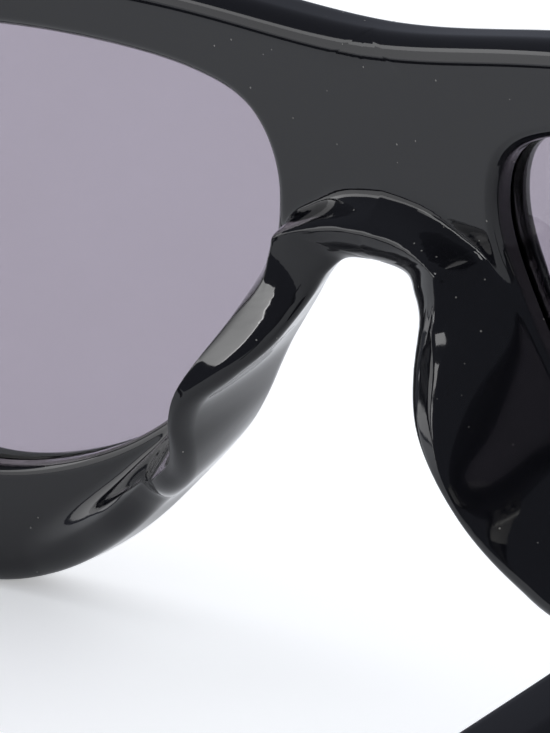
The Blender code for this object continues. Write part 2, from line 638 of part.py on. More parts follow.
def build_side(side_name, side, front, slope):
    """One side's hinge, temple, core wire and screw, carried by an empty on the hinge's axis."""
    axis = bpy.data.objects.new(f"{side_name}_hinge_axis", None)
    axis.location = (side * AXIS_X, AXIS_Y, HINGE_HEIGHT)
    PARTS.objects.link(axis)
    place = Matrix.Translation((AXIS_X, AXIS_Y, HINGE_HEIGHT))
    on_front = place @ Matrix.Rotation(AXIS_TILT, 4, "Z")
    on_temple = place @ Matrix(((0, -1, 0, 0), (-1, 0, 0, 0), (0, 0, 1, 0), (0, 0, 0, 1)))

    name = f"front_hinge_{side_name}"
    build_leaf(name, side, AXIS_STANDOFF, FRONT_LEAF_REACH, (0, 2, 4), on_front)
    cut_pockets(front, name, side, AXIS_STANDOFF, FRONT_LEAF_REACH, POCKET_GAP, on_front)

    temple = make_solid(f"temple_{side_name}", *loft(temple_rings(slope)), ACETATE, side, axis)
    name = f"temple_hinge_{side_name}"
    build_leaf(name, side, TEMPLE_STANDOFF, TEMPLE_LEAF_REACH, (1, 3), on_temple, axis)
    cut_pockets(temple, name, side, TEMPLE_STANDOFF, TEMPLE_LEAF_REACH, CUT_OVERRUN, on_temple)

    pocket_end = AXIS_Y + TEMPLE_LEAF_REACH - ANCHOR_MARGIN
    stop = TEMPLE_LENGTH - WIRE_END_MARGIN
    bore = wire_curve("bore", slope, WIRE_DIAMETER / 2 + WIRE_CLEARANCE, pocket_end - ANCHOR_MARGIN, stop + BUTT_GAP)
    combine(temple, add_helper(f"core_bore_{side_name}", bore, side), "DIFFERENCE")
    wire = wire_curve("wire", slope, WIRE_DIAMETER / 2, pocket_end + 2 * POCKET_GAP, stop)
    name = f"core_wire_{side_name}"
    add_node(name, settle(wire, name, side, axis), WIRE_STEEL, axis)
    build_screw(f"hinge_screw_{side_name}", side, axis)


def centre_depth(front, temple):
    """Moves the whole pair so that Y = 0 is midway between the front's face and the temples' ends."""
    nearest_y = min(vertex.co.y for vertex in front.data.vertices)
    farthest_y = max(vertex.co.y for vertex in temple.data.vertices) + temple.parent.location.y
    for piece in (*PARTS.objects, *CUTTERS.objects):
        if piece.parent is None:
            piece.location.y -= (nearest_y + farthest_y) / 2


def make_material(name, colour, metallic, roughness):
    material = bpy.data.materials.new(name)
    material.use_nodes = True
    shader = material.node_tree.nodes["Principled BSDF"]
    shader.inputs["Base Color"].default_value = (*colour, 1)
    shader.inputs["Metallic"].default_value = metallic
    shader.inputs["Roughness"].default_value = roughness
    return material


for old in list(bpy.data.objects):
    bpy.data.objects.remove(old)
PARTS = bpy.data.collections.new("sunglasses")
CUTTERS = bpy.data.collections.new("cutters")
for collection in (PARTS, CUTTERS):
    bpy.context.scene.collection.children.link(collection)

ACETATE = make_material("black_acetate", (0.012, 0.012, 0.014), 0.0, 0.08)
TINTED_LENS = make_material("tinted_lens", (0.36, 0.33, 0.40), 0.0, 0.03)
HINGE_STEEL = make_material("hinge_steel", (0.55, 0.55, 0.56), 1.0, 0.3)
SCREW_STEEL = make_material("screw_steel", (0.60, 0.60, 0.60), 1.0, 0.25)
WIRE_STEEL = make_material("core_wire_steel", (0.58, 0.58, 0.57), 1.0, 0.35)

front_frame = build_front()
temple_slope = resting_slope()
for side_name, side in SIDES.items():
    build_lens(f"lens_{side_name}", side)
    build_side(side_name, side, front_frame, temple_slope)
centre_depth(front_frame, bpy.data.objects["temple_left"])
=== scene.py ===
# %% [markdown]
# # Black plastic sunglasses
# The imported model brings the size, the joints and the solids. This lesson gives the pair its looks:
# a finely curved front and temples, clear lenses, screws with slots, and the finish of every surface.
# The model is loaded first.

# %% Load the imported model
import json
import math

import bmesh
import bpy
import numpy as np
from mathutils import Matrix, Vector


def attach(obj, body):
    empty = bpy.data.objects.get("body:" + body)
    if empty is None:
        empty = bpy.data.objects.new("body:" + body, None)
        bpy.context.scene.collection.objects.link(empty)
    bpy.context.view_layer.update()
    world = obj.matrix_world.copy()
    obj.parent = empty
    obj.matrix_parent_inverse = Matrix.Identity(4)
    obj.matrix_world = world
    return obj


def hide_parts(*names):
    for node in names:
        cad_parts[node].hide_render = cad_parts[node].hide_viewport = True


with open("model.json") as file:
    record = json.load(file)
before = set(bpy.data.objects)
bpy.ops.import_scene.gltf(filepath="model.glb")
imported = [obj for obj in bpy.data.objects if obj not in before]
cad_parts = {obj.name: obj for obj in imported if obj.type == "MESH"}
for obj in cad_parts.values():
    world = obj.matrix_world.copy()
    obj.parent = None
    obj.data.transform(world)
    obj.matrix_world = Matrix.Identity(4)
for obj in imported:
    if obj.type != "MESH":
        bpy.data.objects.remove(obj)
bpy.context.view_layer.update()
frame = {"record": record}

MM = 0.001

# %% [markdown]
# The scene is looked at from the wearer's side, over the wearer's right temple, in a close-up of the
# bridge. A photograph taken from so near needs the camera's true place as well as its direction. So
# the camera gets the three directions of its own axes, and a lens long enough for the close-up.

# %% Place the camera
CAMERA_PLACE = np.array([-161.06, 81.63, 107.94]) * MM
CAMERA_RIGHT = (-0.67002, -0.73322, -0.11599)
CAMERA_UP = (0.18288, -0.31447, 0.93148)
CAMERA_BACK = (-0.71946, 0.60290, 0.34479)
CAMERA_LENS = 216.3

camera = bpy.data.objects.new("camera", bpy.data.cameras.new("camera"))
bpy.context.scene.collection.objects.link(camera)
camera.matrix_world = Matrix.Translation(CAMERA_PLACE) @ Matrix(
    (CAMERA_RIGHT, CAMERA_UP, CAMERA_BACK)).transposed().to_4x4()
camera.data.sensor_fit = "HORIZONTAL"
camera.data.lens = CAMERA_LENS
camera.data.clip_start = 1 * MM
bpy.context.scene.camera = camera
print("camera", round(CAMERA_PLACE[2] / MM), "mm above the table")

# %% [markdown]
# The front's sizes are repeated here in millimetres, as a maker's drawing gives them. The outline and
# the lens opening are each a few points, as shares of the width and height, so one size can be changed
# without drawing them again.

# %% Sizes of the front
BRIDGE_WIDTH = 22.0 * MM
LENS_WIDTH, LENS_HEIGHT = 53.0 * MM, 37.5 * MM
RIM_TOP, RIM_SIDE, RIM_BOTTOM = 5.6 * MM, 10.2 * MM, 10.7 * MM
FRONT_THICKNESS = 5.2 * MM
FACE_RADIUS = 265.0 * MM
HALF_WIDTH = BRIDGE_WIDTH / 2 + LENS_WIDTH + RIM_SIDE
FRONT_HEIGHT = RIM_BOTTOM + LENS_HEIGHT + RIM_TOP
FACE_MIDDLE = RIM_BOTTOM + LENS_HEIGHT / 2

OUTER_SHARES = (
    (0.0, 0.950), (0.193, 0.972), (0.441, 0.998), (0.661, 0.998), (0.840, 0.975), (0.953, 0.925),
    (1.0, 0.815), (0.992, 0.650), (0.968, 0.440), (0.918, 0.235), (0.825, 0.075), (0.700, 0.0),
    (0.519, 0.052), (0.364, 0.204), (0.290, 0.310), (0.236, 0.396), (0.186, 0.492), (0.154, 0.565),
    (0.119, 0.620), (0.066, 0.645), (0.0, 0.650),
)
LENS_SHARES = (
    (0.0, 0.771), (0.030, 0.888), (0.104, 0.942), (0.245, 0.978), (0.500, 1.0), (0.740, 0.976),
    (0.885, 0.895), (0.965, 0.750), (1.0, 0.550), (0.987, 0.340), (0.928, 0.135), (0.815, 0.028),
    (0.680, 0.0), (0.550, 0.026), (0.400, 0.098), (0.276, 0.197), (0.148, 0.357), (0.070, 0.496),
    (0.022, 0.637),
)
print("front", round(2 * HALF_WIDTH / MM, 1), "x", round(FRONT_HEIGHT / MM, 1), "mm")

# %% [markdown]
# A maker files the outlines until they flow. Here a closed curve is laid through the points. It is a
# cubic spline, because that has no kinks in its curvature, and a polished edge would show every kink.

# %% Smooth outlines through the points
CURVE_STEPS = 24


def smooth_loop(points):
    """Closed cubic spline: second derivatives solve the usual cyclic three-term system, and each span is
    near*P + far*Q plus the two bends times (near^3 - near) and (far^3 - far), over six, times span^2."""
    after = np.roll(points, -1, axis=0)
    steps = np.linalg.norm(after - points, axis=1)
    before = np.roll(steps, 1)
    rows = np.arange(len(points))
    system = np.diag(2 * (before + steps))
    system[rows, (rows + 1) % len(points)] += steps
    system[rows, rows - 1] += before
    slopes = (after - points) / steps[:, None]
    bends = np.linalg.solve(system, 6 * (slopes - np.roll(slopes, 1, axis=0)))
    far = np.arange(CURVE_STEPS)[None, :, None] / CURVE_STEPS
    near = 1 - far
    curve = near * points[:, None] + far * after[:, None]
    pull = (near**3 - near) * bends[:, None] + (far**3 - far) * np.roll(bends, -1, axis=0)[:, None]
    return (curve + pull * steps[:, None, None] ** 2 / 6).reshape(-1, 2)


half = np.array(OUTER_SHARES) * (HALF_WIDTH, FRONT_HEIGHT)
whole = smooth_loop(np.vstack([half, half[-2:0:-1] * (-1, 1)]))
OUTER = whole[: CURVE_STEPS * (len(half) - 1) + 1]
OUTER[[0, -1], 0] = 0.0
OUTER[:, 1] -= OUTER[:, 1].min()
OPENING = smooth_loop(np.array(LENS_SHARES) * (LENS_WIDTH, LENS_HEIGHT) + (BRIDGE_WIDTH / 2, RIM_BOTTOM))
OPENING = np.vstack([OPENING, OPENING[:1]])
print("outline", len(OUTER), "points, lens opening", len(OPENING), "points")

# %% [markdown]
# Most of the shaping asks the same two things of a place on the front: how far it is from an edge, and
# where along that edge it lies. Both come from dropping a perpendicular onto every straight step of the
# curve and keeping the nearest.

# %% Measure along and across a curve


def lengths_along(path):
    """Running length: the sum of the steps so far."""
    return np.concatenate(([0.0], np.cumsum(np.linalg.norm(np.diff(path, axis=0), axis=1))))


def points_at(path, places):
    """Points at given running lengths, each coordinate interpolated along the path."""
    along = lengths_along(path)
    return np.column_stack([np.interp(places, along, path[:, axis]) for axis in range(path.shape[1])])


def nearest(path, points, batch=6000):
    """Distance to the path and place along it: the smallest of |offset - share*step| over all steps,
    with share = offset.step/step.step held to 0..1."""
    starts, steps = path[:-1], np.diff(path, axis=0)
    sizes, along = (steps**2).sum(axis=1), lengths_along(path)
    distances, places = [], []
    for first in range(0, len(points), batch):
        offsets = points[first:first + batch, None] - starts
        shares = np.clip((offsets * steps).sum(axis=2) / sizes, 0, 1)
        squares = ((offsets - shares[..., None] * steps) ** 2).sum(axis=2)
        best = squares.argmin(axis=1)
        rows = np.arange(len(best))
        distances.append(np.sqrt(squares[rows, best]))
        places.append(along[best] + shares[rows, best] * np.sqrt(sizes[best]))
    return np.concatenate(distances), np.concatenate(places)


OUTER_LENGTH = lengths_along(OUTER)[-1]
print("half the outline is", round(OUTER_LENGTH / MM, 1), "mm long")

# %% [markdown]
# The bridge is a saddle: a low ridge runs over the nose arch, then grows on each side into a tall pad
# that leans towards the nose. Such built-up pads are carved from the same plastic as the front. The
# ridge is given by a short table along the edge of the arch, eased between its rows, so one row can be
# changed without making a bump next to it.

# %% The ridge and the nose pads
PAD_HEIGHT, FLANK_WIDTH, CREST_WIDTH = 9.9 * MM, 3.2 * MM, 3.0 * MM
LEAN_START, SWELL = 1.5 * MM, 0.6
# Place from the arch's middle, ridge height, how far it leans to the nose at its nose side and at its
# lens side for each step that it rises, and the widths of its flank and its crest
RIDGE_SHARES = np.array((
    (0.0, 0.26, 0.0, 0.0, 1.0, 0.0), (0.020, 0.28, 0.12, 0.05, 0.80, 0.0),
    (0.034, 0.34, 0.32, 0.34, 0.48, 0.0), (0.048, 0.41, 0.47, 0.62, 0.38, 0.15),
    (0.062, 0.62, 0.43, 0.36, 0.50, 0.6), (0.078, 0.87, 0.28, 0.23, 0.65, 0.55),
    (0.092, 0.98, 0.18, 0.23, 0.75, 0.3), (0.106, 0.96, 0.18, 0.32, 0.75, 0.15),
    (0.120, 0.85, 0.25, 0.44, 0.75, 0.15), (0.134, 0.73, 0.30, 0.52, 0.75, 0.2),
    (0.150, 0.64, 0.27, 0.47, 0.75, 0.1), (0.162, 0.50, 0.23, 0.41, 0.75, 0.0),
    (0.174, 0.31, 0.17, 0.30, 0.80, 0.0), (0.188, 0.22, 0.10, 0.15, 0.95, 0.0),
    (0.220, 0.15, 0.04, 0.05, 1.0, 0.0), (0.245, 0.07, 0.0, 0.0, 1.0, 0.0),
    (0.280, 0.0, 0.0, 0.0, 0.75, 0.0), (1.0, 0.0, 0.0, 0.0, 0.75, 0.0),
))


def ridge_at(places):
    """Height, two leans, flank and crest at a place: a cubic Hermite curve through the table's rows."""
    table, shares = RIDGE_SHARES, 1 - places / OUTER_LENGTH
    after = np.clip(np.searchsorted(table[:, 0], shares, side="right"), 1, len(table) - 1)
    low, high = table[after - 1], table[after]
    slopes = np.gradient(table[:, 1:], table[:, 0], axis=0)
    span = (high[:, 0] - low[:, 0])[:, None]
    t = np.clip((shares - low[:, 0])[:, None] / span, 0, 1)
    rise = low[:, 1:] * (1 + 2 * t) * (1 - t) ** 2 + high[:, 1:] * (3 - 2 * t) * t**2
    rise += span * (slopes[after - 1] * t * (1 - t) ** 2 - slopes[after] * (1 - t) * t**2)
    height, nose_lean, lens_lean, flank, crest = np.clip(rise, 0, 1).T
    return height * PAD_HEIGHT, nose_lean, lens_lean, flank * FLANK_WIDTH, crest * CREST_WIDTH


print("tallest ridge", round(ridge_at(np.linspace(0, OUTER_LENGTH, 999))[0].max() / MM, 2), "mm")

# %% [markdown]
# Two height maps then give the front's two sides. The side towards the face is flat, apart from the
# ridge, a rounded outer edge and a soft lip round each lens. The other side is flat with rounder edges,
# and its round is widest beside the nose. A quarter round is used for each edge, as tumbling and hand
# polishing leave it.

# %% Height maps of the two sides
EDGE_WIDTH = 2.2 * MM
BACK_EDGE_DEPTH, FRONT_EDGE_DEPTH = 1.7 * MM, 2.1 * MM
LIP_WIDTH, LIP_DEPTH = 0.9 * MM, 0.9 * MM
FLANK_EASING, LIP_GROWTH_SHARE, NOSE_ROUND = 1.6, 0.18, 1.8 * MM
NARROWING = 4


def rounding(distance, width):
    """Quarter round: 1 - sqrt(1 - (1 - distance/width)^2), so 1 at the edge and 0 at its width."""
    inner = np.clip(1 - distance / width, 0, 1)
    return 1 - np.sqrt(1 - inner**2)


def back_depth(points):
    """Ridge height times a half cosine down its flank, less the outer round and the lens lip. Where the rim
    is narrow, distances are stretched by (1 + (crest and flank / rim)^4)^(1/4), so that both still fit."""
    outer, places = nearest(OUTER, points)
    lens, _ = nearest(OPENING, points)
    height, _, _, flank, crest = ridge_at(places)
    crest += EDGE_WIDTH
    reach = outer * (1 + ((crest + flank) / (outer + lens)) ** NARROWING) ** (1 / NARROWING)
    down = np.clip((reach - crest) / flank, 0, 1)
    raised = height * ((1 + np.cos(np.pi * down)) / 2) ** FLANK_EASING
    lip = LIP_DEPTH + LIP_GROWTH_SHARE * raised
    return raised - BACK_EDGE_DEPTH * rounding(reach, EDGE_WIDTH) - lip * rounding(lens, LIP_WIDTH)


def front_depth(points):
    """The other side: the thickness, less the lens lip and the outer round. Beside the nose the round is
    wider, by NOSE_ROUND times the square root of the ridge's share of its full height."""
    outer, places = nearest(OUTER, points)
    lens, _ = nearest(OPENING, points)
    wider = NOSE_ROUND * np.sqrt(ridge_at(places)[0] / PAD_HEIGHT)
    round_off = (FRONT_EDGE_DEPTH + wider) * rounding(outer, EDGE_WIDTH + wider)
    return round_off + LIP_DEPTH * rounding(lens, LIP_WIDTH) - FRONT_THICKNESS


def face_bend(x, z):
    """Distance back on a shallow bowl: (x^2 + height^2) over twice its radius."""
    return (x**2 + (z - FACE_MIDDLE) ** 2) / (2 * FACE_RADIUS)


print("arch thickness", round((back_depth(OUTER[-1:] + (0, 3 * MM))[0] + FRONT_THICKNESS) / MM, 2), "mm")

# %% [markdown]
# The hinge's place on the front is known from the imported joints. The back of the flat front is worked
# out from it, so that everything built here lies where the solids are.

# %% Find the hinge axes and the front's back plane
JOINTS = {joint["name"]: joint for joint in frame["record"]["behaviour"]["joints"]}
AXIS = np.array(JOINTS["left_fold"]["pos_m"])
AXIS_STANDOFF = 2.2 * MM
AXIS_TILT = math.atan(AXIS[0] / FACE_RADIUS)
BACK_PLANE = AXIS[1] - face_bend(AXIS[0], AXIS[2]) - AXIS_STANDOFF / math.cos(AXIS_TILT)
print("back plane at", round(BACK_PLANE / MM, 3), "mm, hinge axis", [round(v / MM, 2) for v in AXIS])

# %% [markdown]
# The front is one surface on a grid. One parameter goes round the lens opening, station by station.
# The other goes round each section: up from the lens groove, over the side towards the face, round the
# outer edge and back along the other side. Rows are spaced by length and by turn, so the tight edges
# get the most of them.

# %% Rows across a section
STATIONS, BRIDGE_ROWS, BACK_ROWS, FRONT_ROWS = ((300, 30, 62, 30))
EDGE_ROWS, LENS_EDGE_ROWS, SAMPLES, TURN_LENGTH = 6, 4, 200, 1.6 * MM


def even_places(path, count):
    """Places at equal steps of running length plus TURN_LENGTH times the turning so far."""
    steps = np.diff(path, axis=0)
    heading = np.unwrap(np.arctan2(steps[:, 1], steps[:, 0]))
    turning = np.abs(np.diff(heading, prepend=heading[0]))
    effort = np.cumsum(np.linalg.norm(steps, axis=1) + TURN_LENGTH * turning)
    effort = np.concatenate(([0.0], effort))
    return np.interp(np.linspace(0, effort[-1], count), effort, lengths_along(path[:, :2]))


def section_rows(inner, outer, depth, rows):
    """Points on the straight line from lens opening to outline, raised by a height map."""
    shares = (1 - np.cos(np.linspace(0, np.pi, SAMPLES))) / 2
    lines = inner[:, None] + shares[None, :, None] * (outer - inner)[:, None]
    depths = depth(lines.reshape(-1, 2)).reshape(len(inner), SAMPLES)
    across = np.linalg.norm(lines - lines[:, :1], axis=2)
    sections = []
    for line, reach, y in zip(lines, across, depths):
        path = np.column_stack([reach, y])
        kept = points_at(path, even_places(path, rows))
        places = line[0] + np.outer(kept[:, 0] / reach[-1], line[-1] - line[0])
        sections.append(np.column_stack([places[:, 0], kept[:, 1], places[:, 1]]))
    return np.array(sections)


def between(start, end, count):
    """Rows evenly between two rows of points, without either."""
    shares = np.arange(1, count + 1)[None, :, None] / (count + 1)
    return start[:, None] * (1 - shares) + end[:, None] * shares


print("about", STATIONS * (BACK_ROWS + FRONT_ROWS) * 4, "triangles in the front")

# %% [markdown]
# The lens sits in a groove milled all round its opening, so each section ends with the groove's three
# sides. The front is shaped flat and only then leaned towards the nose and bowed, which is simpler than
# shaping it bent, and is what a maker does with a warm blank.

# %% Sections round the left lens
GROOVE_DEPTH, LENS_GAP = 1.1 * MM, 0.15 * MM
LENS_SETBACK, LENS_THICKNESS = 1.8 * MM, 2.0 * MM


def bridge_points():
    """Where sections meet the middle of the bridge, spaced by the ridge's profile there."""
    heights = np.linspace(OUTER[-1, 1], OUTER[0, 1], SAMPLES)
    path = np.column_stack([heights, back_depth(np.column_stack([np.zeros(SAMPLES), heights]))])
    kept = points_at(path, even_places(path, BRIDGE_ROWS + 2))[1:-1]
    return np.column_stack([np.zeros(BRIDGE_ROWS), kept[:, 0]])


def groove_rows(inner, outward):
    """The lens groove: straight in at the lens's front face, and straight out at its back face."""
    floor = inner + outward * GROOVE_DEPTH
    front, back = -LENS_SETBACK - LENS_THICKNESS - LENS_GAP, -LENS_SETBACK + LENS_GAP
    corners = ((inner, front), (floor, front), (floor, back), (inner, back))
    return np.stack([np.insert(place, 1, y, axis=1) for place, y in corners], axis=1)


def front_sections():
    """Closed sections, then leaned towards the nose and bowed. Beside the lens the lean grows as
    rise^2 / (rise + LEAN_START). At the outer edge it is the level above the front's other side, times 1
    plus a swell that is largest there, gone at the ridge's top, and grows with the square of its height."""
    heights = ridge_at(lengths_along(OUTER))[0]
    places = even_places(np.column_stack([OUTER, heights]), STATIONS)
    outer = np.vstack([points_at(OUTER, places), bridge_points()])
    inner = points_at(OPENING, nearest(OPENING, outer)[1])
    widths = np.linalg.norm(outer - inner, axis=1)[:, None]
    outward = (outer - inner) / widths
    back = section_rows(inner, outer, back_depth, BACK_ROWS)
    front = section_rows(inner, outer, front_depth, FRONT_ROWS)[:, ::-1]
    groove = groove_rows(inner, outward)
    sections = np.concatenate([back, between(back[:, -1], front[:, 0], EDGE_ROWS), front, groove,
                               between(groove[:, -1], back[:, 0], LENS_EDGE_ROWS)], axis=1)
    height, nose_lean, lens_lean, _, _ = np.pad(ridge_at(places), ((0, 0), (0, BRIDGE_ROWS)))[..., None]
    rise = np.clip(sections[..., 1], 0, None)
    across = np.clip(np.linalg.norm(sections[..., ::2] - inner[:, None], axis=2) / widths, 0, 1)
    lens_side = lens_lean * rise**2 / (rise + LEAN_START)
    level = sections[..., 1] + FRONT_THICKNESS
    swell = SWELL * (height / PAD_HEIGHT) ** 2 * (1 - np.clip(level / (height + FRONT_THICKNESS), 0, 1))
    nose_side = nose_lean * level * (1 + swell)
    shift = lens_side + (nose_side - lens_side) * across
    sections[..., ::2] += shift[..., None] * outward[:, None]
    sections[..., 1] += face_bend(sections[..., 0], sections[..., 2]) + BACK_PLANE
    return sections


SECTIONS = front_sections()
print("sections", SECTIONS.shape)

# %% [markdown]
# A grid becomes a mesh when each cell's four corners are listed. The half is then mirrored: its points
# are copied with x turned round, its faces are listed backwards so that they still face outwards, and
# the points that meet in the middle of the bridge are merged.

# %% From grids to meshes
SHARP_ANGLE, MERGE_DISTANCE = 40.0, 0.0005 * MM


def grid_faces(count, size, closed_across=False, closed_round=True):
    """Four corners of each cell of a count x size grid, which may close on itself either way."""
    last = count if closed_across else count - 1
    row, step = np.meshgrid(np.arange(last), np.arange(size if closed_round else size - 1), indexing="ij")
    after, onward = (row + 1) % count, (step + 1) % size
    corners = [row * size + step, row * size + onward, after * size + onward, after * size + step]
    return np.stack(corners, axis=-1)


def new_piece(name, points, faces, body, sharp=SHARP_ANGLE):
    """A piece whose doubles are merged and whose faces point outwards, riding on a body."""
    mesh = bpy.data.meshes.new(name)
    mesh.from_pydata(np.asarray(points).tolist(), [], [list(face) for face in faces])
    shape = bmesh.new()
    shape.from_mesh(mesh)
    bmesh.ops.remove_doubles(shape, verts=shape.verts, dist=MERGE_DISTANCE)
    bmesh.ops.recalc_face_normals(shape, faces=shape.faces)
    shape.to_mesh(mesh)
    shape.free()
    mesh.shade_smooth()
    mesh.set_sharp_from_angle(angle=math.radians(sharp))
    piece = bpy.data.objects.new(name, mesh)
    bpy.context.scene.collection.objects.link(piece)
    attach(piece, body)
    print(name, len(mesh.polygons), "faces")
    return piece


count, size = SECTIONS.shape[:2]
cells = grid_faces(count, size, closed_across=True)
on_middle = np.arange(count)[:, None] >= STATIONS - 1
in_edge = (np.arange(size) >= BACK_ROWS - 1) & (np.arange(size) < BACK_ROWS + EDGE_ROWS)
cells = cells[~(on_middle & in_edge)]
points = SECTIONS.reshape(-1, 3)
points = np.vstack([points, points * (-1, 1, 1)])
cells = np.vstack([cells, cells[:, ::-1] + count * size])
front_body = new_piece("front_body", points, cells, "front")
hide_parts("front_frame")

# %% [markdown]
# Each hinge leaf is sunk in a pocket milled in the plastic. The pockets have the size of the solids'
# own, so a box is cut from the fine surface with an exact Boolean, which is applied at once.

# %% Cut the hinge pockets
LEAF_DEPTH, LEAF_HALF_HEIGHT, POCKET_GAP = 1.0 * MM, 4.46 * MM, 0.12 * MM
# Each leaf's standoff from the hinge axis, its reach on one side of the axis, and that on the other
FRONT_LEAF = (AXIS_STANDOFF, 3.0 * MM, 1.0 * MM)
TEMPLE_LEAF = (2.0 * MM, 9.0 * MM, 4.0 * MM)


def box_cutter(low, high, matrix):
    """A box between two corners, carried to its place."""
    shape = bmesh.new()
    bmesh.ops.create_cube(shape, size=1.0)
    middle, sides = (Vector(low) + Vector(high)) / 2, Vector(high) - Vector(low)
    bmesh.ops.transform(shape, matrix=matrix @ Matrix.Translation(middle) @ Matrix.Diagonal((*sides, 1)),
                        verts=shape.verts)
    bmesh.ops.recalc_face_normals(shape, faces=shape.faces)
    mesh = bpy.data.meshes.new("cutter")
    shape.to_mesh(mesh)
    shape.free()
    cutter = bpy.data.objects.new("cutter", mesh)
    bpy.context.scene.collection.objects.link(cutter)
    return cutter


def cut(piece, cutter, sharp=SHARP_ANGLE):
    """Takes the cutter's shape out of the piece and leaves the result as its mesh."""
    change = piece.modifiers.new("cut", "BOOLEAN")
    change.operation, change.solver, change.object = "DIFFERENCE", "EXACT", cutter
    graph = bpy.context.evaluated_depsgraph_get()
    mesh = bpy.data.meshes.new_from_object(piece.evaluated_get(graph))
    piece.modifiers.clear()
    piece.data = mesh
    mesh.set_sharp_from_angle(angle=math.radians(sharp))
    bpy.data.objects.remove(cutter)


def leaf_pocket(side, turn, standoff, reach, past_axis):
    """The pocket's box about the hinge axis: reach to one side, past_axis to the other, and leaf deep."""
    place = Matrix.Translation((side * AXIS[0], AXIS[1], AXIS[2]))
    mirror = Matrix.Diagonal((side, 1, 1, 1))
    low = (-reach - POCKET_GAP, -standoff - LEAF_DEPTH - POCKET_GAP, -LEAF_HALF_HEIGHT - POCKET_GAP)
    high = (past_axis + POCKET_GAP, 0, LEAF_HALF_HEIGHT + POCKET_GAP)
    return box_cutter(low, high, place @ mirror @ turn)


FRONT_TURN = Matrix.Rotation(AXIS_TILT, 4, "Z")
for side in (1, -1):
    cut(front_body, leaf_pocket(side, FRONT_TURN, *FRONT_LEAF))
print("front with pockets", len(front_body.data.polygons), "faces")

# %% [markdown]
# A plastic temple is sawn from sheet, so its two sides are flat and its edges are rounded. It slopes
# down from the hinge, then bends behind the ear. The centre line is worked out first: straight, an arc,
# then straight again, because a maker bends the tip round a bar and leaves the rest as it is.

# %% A temple's centre line
TEMPLE_LENGTH, TIP_LENGTH, TIP_ANGLE, BEND_RADIUS = 138 * MM, 40 * MM, math.radians(40), 34 * MM
TEMPLE_THICKNESS, TEMPLE_EDGE, TEMPLE_OUTER = 4 * MM, 1 * MM, HALF_WIDTH - 1.2 * MM
TEMPLE_MIDDLE = TEMPLE_OUTER - TEMPLE_THICKNESS / 2
BUTT_Y = face_bend(TEMPLE_OUTER - TEMPLE_THICKNESS, AXIS[2]) + BACK_PLANE


def centreline(slope, shares):
    """Distance back, height and direction at shares of the temple's length."""
    bend = BEND_RADIUS * TIP_ANGLE
    straight = TEMPLE_LENGTH - TIP_LENGTH - bend
    lengths = shares * TEMPLE_LENGTH
    run, tip = np.minimum(lengths, straight), np.clip(lengths - straight - bend, 0, None)
    angle = slope + np.clip((lengths - straight) / BEND_RADIUS, 0, TIP_ANGLE)
    back = run * math.cos(slope) + BEND_RADIUS * (np.sin(angle) - math.sin(slope)) + tip * np.cos(angle)
    down = run * math.sin(slope) + BEND_RADIUS * (math.cos(slope) - np.cos(angle)) + tip * np.sin(angle)
    return back + BUTT_Y, AXIS[2] - down, angle


print("butt at", round(BUTT_Y / MM, 2), "mm")

# %% [markdown]
# A rectangle with rounded corners is carried along the centre line. It is tall at the hinge, slimmer in
# the middle and wide at the tip, which closes on a half ellipse. It stays square to the line, because
# that keeps the sides flat and the edges an even round. The slope that just lets the tip touch the
# table is found by halving a range.

# %% Carry the section along it
HEIGHTS = np.array(((0, 11.0), (0.12, 10.8), (0.35, 9.8), (0.62, 9.0), (0.75, 9.5), (0.92, 11.5),
                    (1, 11.5)))
TIP_START, TIP_THIN_SHARE, CORNER_SHARE = 0.955, 0.35, 0.98
RINGS, TIP_RINGS, CORNER_STEPS = 150, 24, 10
STEEPEST, HALVINGS = math.radians(30), 24


def rounded_rectangle(thick, tall, corner):
    """Each quarter turn of a corner round, set off to its own corner, then joined by the flat sides."""
    around = np.linspace(0, math.pi / 2, CORNER_STEPS) + np.arange(4)[:, None] * math.pi / 2
    signs = np.array(((1, 1), (-1, 1), (-1, -1), (1, -1)))
    across = signs[:, None, 0] * (thick - corner) + corner * np.cos(around)
    upward = signs[:, None, 1] * (tall - corner) + corner * np.sin(around)
    return across.ravel(), upward.ravel()


def temple_rings(slope):
    """Rounded rectangles square to the centre line, closing at the tip as sqrt(1 - share^2)."""
    ends = TIP_START + (1 - TIP_START) * np.sin(np.linspace(0, np.pi / 2, TIP_RINGS))
    shares = np.concatenate([np.linspace(0, TIP_START, RINGS, endpoint=False), ends])
    back, height, angle = centreline(slope, shares)
    closing = np.clip((shares - TIP_START) / (1 - TIP_START), 0, 1)
    tall = np.interp(shares, HEIGHTS[:, 0], HEIGHTS[:, 1]) * MM / 2 * np.sqrt(1 - closing**2)
    thick = TEMPLE_THICKNESS / 2 * (1 - TIP_THIN_SHARE * closing**2)
    corner = np.minimum(TEMPLE_EDGE, np.minimum(tall, thick) * CORNER_SHARE)
    rings = []
    for i in range(len(shares)):
        across, upward = rounded_rectangle(thick[i], tall[i], corner[i])
        rings.append(np.column_stack([TEMPLE_MIDDLE + across, back[i] + upward * math.sin(angle[i]),
                                      height[i] + upward * math.cos(angle[i])]))
    return np.array(rings)


def resting_slope():
    """Halves the range of slopes until the tip just reaches the table."""
    low, high = 0.0, STEEPEST
    for _ in range(HALVINGS):
        middle = (low + high) / 2
        low, high = (middle, high) if temple_rings(middle)[..., 2].min() > 0 else (low, middle)
    return low


SLOPE = resting_slope()
print("temples slope", round(math.degrees(SLOPE), 2), "degrees")

# %% [markdown]
# The end at the hinge, called the butt, is sawn to lie against the back of the front with a hair's gap,
# so its ring is slid along the temple onto that slope. A tiny round takes off the saw's edge, since no
# polished plastic keeps one. The right temple is the left one mirrored.

